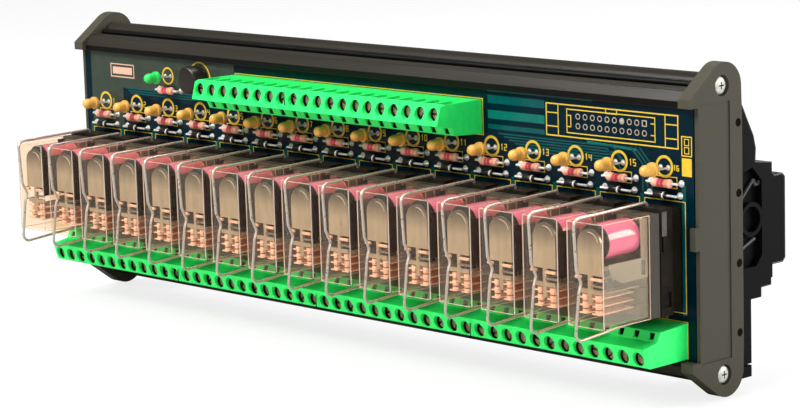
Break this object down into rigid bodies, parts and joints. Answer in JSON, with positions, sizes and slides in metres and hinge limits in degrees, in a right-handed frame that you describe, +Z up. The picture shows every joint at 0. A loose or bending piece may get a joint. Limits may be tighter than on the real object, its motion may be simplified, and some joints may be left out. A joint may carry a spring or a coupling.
{
  "type": "relay module",
  "caption": "Rail-mounted relay module: plug-in relays with clear covers and wire bails on a board with screw terminals, in a long carrier with end caps.",
  "frame": {"origin": "middle of the mounting rail, in the plane where the rail's lips seat on the feet", "axes": "X along the module, to the right seen from the front; -Y out of the front, where the relays are; +Z up"},
  "size_m": [0.2508, 0.0708, 0.0864],
  "materials": {
    "carrier_plastic": "satin dark olive brown",
    "cap_plastic": "matt olive grey",
    "foot_plastic": "matt black",
    "board": "glossy lacquer over tracks",
    "terminal_plastic": "satin moulded",
    "zinc_steel": "zinc plated",
    "cage_brass": "nickel plated",
    "socket_plastic": "satin black",
    "relay_base_plastic": "matt grey",
    "clear_cover": "clear polycarbonate",
    "coil_wrap": "glossy wrapped foil",
    "relay_steel": "nickel plated",
    "contact_bronze": "rolled sheet",
    "lamp_yellow": "clear tinted resin",
    "lamp_green": "clear tinted resin",
    "resistor_body": "lacquered",
    "diode_body": "moulded",
    "rectifier_body": "moulded",
    "bail_wire": "bright spring wire"
  },
  "bodies": {
    "module": {"carrier_profile": "carrier_plastic", "end_cap_left": "cap_plastic", "end_cap_right": "cap_plastic", "end_cap_screws": "zinc_steel", "rail_foot_left": "foot_plastic", "rail_foot_right": "foot_plastic", "circuit_board": "board", "output_terminal_1": "terminal_plastic", "output_terminal_2": "terminal_plastic", "output_terminal_3": "terminal_plastic", "output_terminal_4": "terminal_plastic", "input_terminal_1": "terminal_plastic", "input_terminal_2": "terminal_plastic", "terminal_screws": "zinc_steel", "terminal_cages": "cage_brass", "relay_sockets": "socket_plastic", "relay_bases": "relay_base_plastic", "relay_covers": "clear_cover", "relay_coils": "coil_wrap", "relay_yokes": "relay_steel", "relay_contacts": "contact_bronze", "channel_leds": "lamp_yellow", "power_led": "lamp_green", "resistors": "resistor_body", "diodes": "diode_body", "bridge_rectifier": "rectifier_body"},
    "latch_left": {"foot_latch_left": "foot_plastic"},
    "latch_right": {"foot_latch_right": "foot_plastic"},
    "bail_01": {"bail_01": "bail_wire"},
    "bail_02": {"bail_02": "bail_wire"},
    "bail_03": {"bail_03": "bail_wire"},
    "bail_04": {"bail_04": "bail_wire"},
    "bail_05": {"bail_05": "bail_wire"},
    "bail_06": {"bail_06": "bail_wire"},
    "bail_07": {"bail_07": "bail_wire"},
    "bail_08": {"bail_08": "bail_wire"},
    "bail_09": {"bail_09": "bail_wire"},
    "bail_10": {"bail_10": "bail_wire"},
    "bail_11": {"bail_11": "bail_wire"},
    "bail_12": {"bail_12": "bail_wire"},
    "bail_13": {"bail_13": "bail_wire"},
    "bail_14": {"bail_14": "bail_wire"},
    "bail_15": {"bail_15": "bail_wire"},
    "bail_16": {"bail_16": "bail_wire"},
    "armature_01": {"armature_01": "relay_steel"},
    "armature_02": {"armature_02": "relay_steel"},
    "armature_03": {"armature_03": "relay_steel"},
    "armature_04": {"armature_04": "relay_steel"},
    "armature_05": {"armature_05": "relay_steel"},
    "armature_06": {"armature_06": "relay_steel"},
    "armature_07": {"armature_07": "relay_steel"},
    "armature_08": {"armature_08": "relay_steel"},
    "armature_09": {"armature_09": "relay_steel"},
    "armature_10": {"armature_10": "relay_steel"},
    "armature_11": {"armature_11": "relay_steel"},
    "armature_12": {"armature_12": "relay_steel"},
    "armature_13": {"armature_13": "relay_steel"},
    "armature_14": {"armature_14": "relay_steel"},
    "armature_15": {"armature_15": "relay_steel"},
    "armature_16": {"armature_16": "relay_steel"}
  },
  "joints": [
    {"name": "foot_latch_left_slide", "type": "slide", "parent": "module", "child": "latch_left", "axis": [0, 0, -1], "range_m": [0, 0.0035], "stiffness_N_per_m": 600, "springref_m": -0.003},
    {"name": "foot_latch_right_slide", "type": "slide", "parent": "module", "child": "latch_right", "axis": [0, 0, -1], "range_m": [0, 0.0035], "stiffness_N_per_m": 600, "springref_m": -0.003},
    {"name": "bail_swing_01", "type": "hinge", "parent": "module", "child": "bail_01", "pos_m": [-0.1143, -0.03765, -0.006], "axis": [0, 0, 1], "range_deg": [-15, 15]},
    {"name": "bail_swing_02", "type": "hinge", "parent": "module", "child": "bail_02", "pos_m": [-0.09906, -0.03765, -0.006], "axis": [0, 0, 1], "range_deg": [-15, 15]},
    {"name": "bail_swing_03", "type": "hinge", "parent": "module", "child": "bail_03", "pos_m": [-0.08382, -0.03765, -0.006], "axis": [0, 0, 1], "range_deg": [-15, 15]},
    {"name": "bail_swing_04", "type": "hinge", "parent": "module", "child": "bail_04", "pos_m": [-0.06858, -0.03765, -0.006], "axis": [0, 0, 1], "range_deg": [-15, 15]},
    {"name": "bail_swing_05", "type": "hinge", "parent": "module", "child": "bail_05", "pos_m": [-0.05334, -0.03765, -0.006], "axis": [0, 0, 1], "range_deg": [-15, 15]},
    {"name": "bail_swing_06", "type": "hinge", "parent": "module", "child": "bail_06", "pos_m": [-0.0381, -0.03765, -0.006], "axis": [0, 0, 1], "range_deg": [-15, 15]},
    {"name": "bail_swing_07", "type": "hinge", "parent": "module", "child": "bail_07", "pos_m": [-0.02286, -0.03765, -0.006], "axis": [0, 0, 1], "range_deg": [-15, 15]},
    {"name": "bail_swing_08", "type": "hinge", "parent": "module", "child": "bail_08", "pos_m": [-0.00762, -0.03765, -0.006], "axis": [0, 0, 1], "range_deg": [-15, 15]},
    {"name": "bail_swing_09", "type": "hinge", "parent": "module", "child": "bail_09", "pos_m": [0.00762, -0.03765, -0.006], "axis": [0, 0, 1], "range_deg": [-15, 15]},
    {"name": "bail_swing_10", "type": "hinge", "parent": "module", "child": "bail_10", "pos_m": [0.02286, -0.03765, -0.006], "axis": [0, 0, 1], "range_deg": [-15, 15]},
    {"name": "bail_swing_11", "type": "hinge", "parent": "module", "child": "bail_11", "pos_m": [0.0381, -0.03765, -0.006], "axis": [0, 0, 1], "range_deg": [-15, 15]},
    {"name": "bail_swing_12", "type": "hinge", "parent": "module", "child": "bail_12", "pos_m": [0.05334, -0.03765, -0.006], "axis": [0, 0, 1], "range_deg": [-15, 15]},
    {"name": "bail_swing_13", "type": "hinge", "parent": "module", "child": "bail_13", "pos_m": [0.06858, -0.03765, -0.006], "axis": [0, 0, 1], "range_deg": [-15, 15]},
    {"name": "bail_swing_14", "type": "hinge", "parent": "module", "child": "bail_14", "pos_m": [0.08382, -0.03765, -0.006], "axis": [0, 0, 1], "range_deg": [-15, 15]},
    {"name": "bail_swing_15", "type": "hinge", "parent": "module", "child": "bail_15", "pos_m": [0.09906, -0.03765, -0.006], "axis": [0, 0, 1], "range_deg": [-15, 15]},
    {"name": "bail_swing_16", "type": "hinge", "parent": "module", "child": "bail_16", "pos_m": [0.1143, -0.03765, -0.006], "axis": [0, 0, 1], "range_deg": [-15, 15]},
    {"name": "armature_rock_01", "type": "hinge", "parent": "module", "child": "armature_01", "pos_m": [-0.1143, -0.0585, -0.0048], "axis": [-1, 0, 0], "range_deg": [0, 3.5], "stiffness_Nm_per_rad": 0.002, "springref_deg": -5.73},
    {"name": "armature_rock_02", "type": "hinge", "parent": "module", "child": "armature_02", "pos_m": [-0.09906, -0.0585, -0.0048], "axis": [-1, 0, 0], "range_deg": [0, 3.5], "stiffness_Nm_per_rad": 0.002, "springref_deg": -5.73},
    {"name": "armature_rock_03", "type": "hinge", "parent": "module", "child": "armature_03", "pos_m": [-0.08382, -0.0585, -0.0048], "axis": [-1, 0, 0], "range_deg": [0, 3.5], "stiffness_Nm_per_rad": 0.002, "springref_deg": -5.73},
    {"name": "armature_rock_04", "type": "hinge", "parent": "module", "child": "armature_04", "pos_m": [-0.06858, -0.0585, -0.0048], "axis": [-1, 0, 0], "range_deg": [0, 3.5], "stiffness_Nm_per_rad": 0.002, "springref_deg": -5.73},
    {"name": "armature_rock_05", "type": "hinge", "parent": "module", "child": "armature_05", "pos_m": [-0.05334, -0.0585, -0.0048], "axis": [-1, 0, 0], "range_deg": [0, 3.5], "stiffness_Nm_per_rad": 0.002, "springref_deg": -5.73},
    {"name": "armature_rock_06", "type": "hinge", "parent": "module", "child": "armature_06", "pos_m": [-0.0381, -0.0585, -0.0048], "axis": [-1, 0, 0], "range_deg": [0, 3.5], "stiffness_Nm_per_rad": 0.002, "springref_deg": -5.73},
    {"name": "armature_rock_07", "type": "hinge", "parent": "module", "child": "armature_07", "pos_m": [-0.02286, -0.0585, -0.0048], "axis": [-1, 0, 0], "range_deg": [0, 3.5], "stiffness_Nm_per_rad": 0.002, "springref_deg": -5.73},
    {"name": "armature_rock_08", "type": "hinge", "parent": "module", "child": "armature_08", "pos_m": [-0.00762, -0.0585, -0.0048], "axis": [-1, 0, 0], "range_deg": [0, 3.5], "stiffness_Nm_per_rad": 0.002, "springref_deg": -5.73},
    {"name": "armature_rock_09", "type": "hinge", "parent": "module", "child": "armature_09", "pos_m": [0.00762, -0.0585, -0.0048], "axis": [-1, 0, 0], "range_deg": [0, 3.5], "stiffness_Nm_per_rad": 0.002, "springref_deg": -5.73},
    {"name": "armature_rock_10", "type": "hinge", "parent": "module", "child": "armature_10", "pos_m": [0.02286, -0.0585, -0.0048], "axis": [-1, 0, 0], "range_deg": [0, 3.5], "stiffness_Nm_per_rad": 0.002, "springref_deg": -5.73},
    {"name": "armature_rock_11", "type": "hinge", "parent": "module", "child": "armature_11", "pos_m": [0.0381, -0.0585, -0.0048], "axis": [-1, 0, 0], "range_deg": [0, 3.5], "stiffness_Nm_per_rad": 0.002, "springref_deg": -5.73},
    {"name": "armature_rock_12", "type": "hinge", "parent": "module", "child": "armature_12", "pos_m": [0.05334, -0.0585, -0.0048], "axis": [-1, 0, 0], "range_deg": [0, 3.5], "stiffness_Nm_per_rad": 0.002, "springref_deg": -5.73},
    {"name": "armature_rock_13", "type": "hinge", "parent": "module", "child": "armature_13", "pos_m": [0.06858, -0.0585, -0.0048], "axis": [-1, 0, 0], "range_deg": [0, 3.5], "stiffness_Nm_per_rad": 0.002, "springref_deg": -5.73},
    {"name": "armature_rock_14", "type": "hinge", "parent": "module", "child": "armature_14", "pos_m": [0.08382, -0.0585, -0.0048], "axis": [-1, 0, 0], "range_deg": [0, 3.5], "stiffness_Nm_per_rad": 0.002, "springref_deg": -5.73},
    {"name": "armature_rock_15", "type": "hinge", "parent": "module", "child": "armature_15", "pos_m": [0.09906, -0.0585, -0.0048], "axis": [-1, 0, 0], "range_deg": [0, 3.5], "stiffness_Nm_per_rad": 0.002, "springref_deg": -5.73},
    {"name": "armature_rock_16", "type": "hinge", "parent": "module", "child": "armature_16", "pos_m": [0.1143, -0.0585, -0.0048], "axis": [-1, 0, 0], "range_deg": [0, 3.5], "stiffness_Nm_per_rad": 0.002, "springref_deg": -5.73}
  ]
}
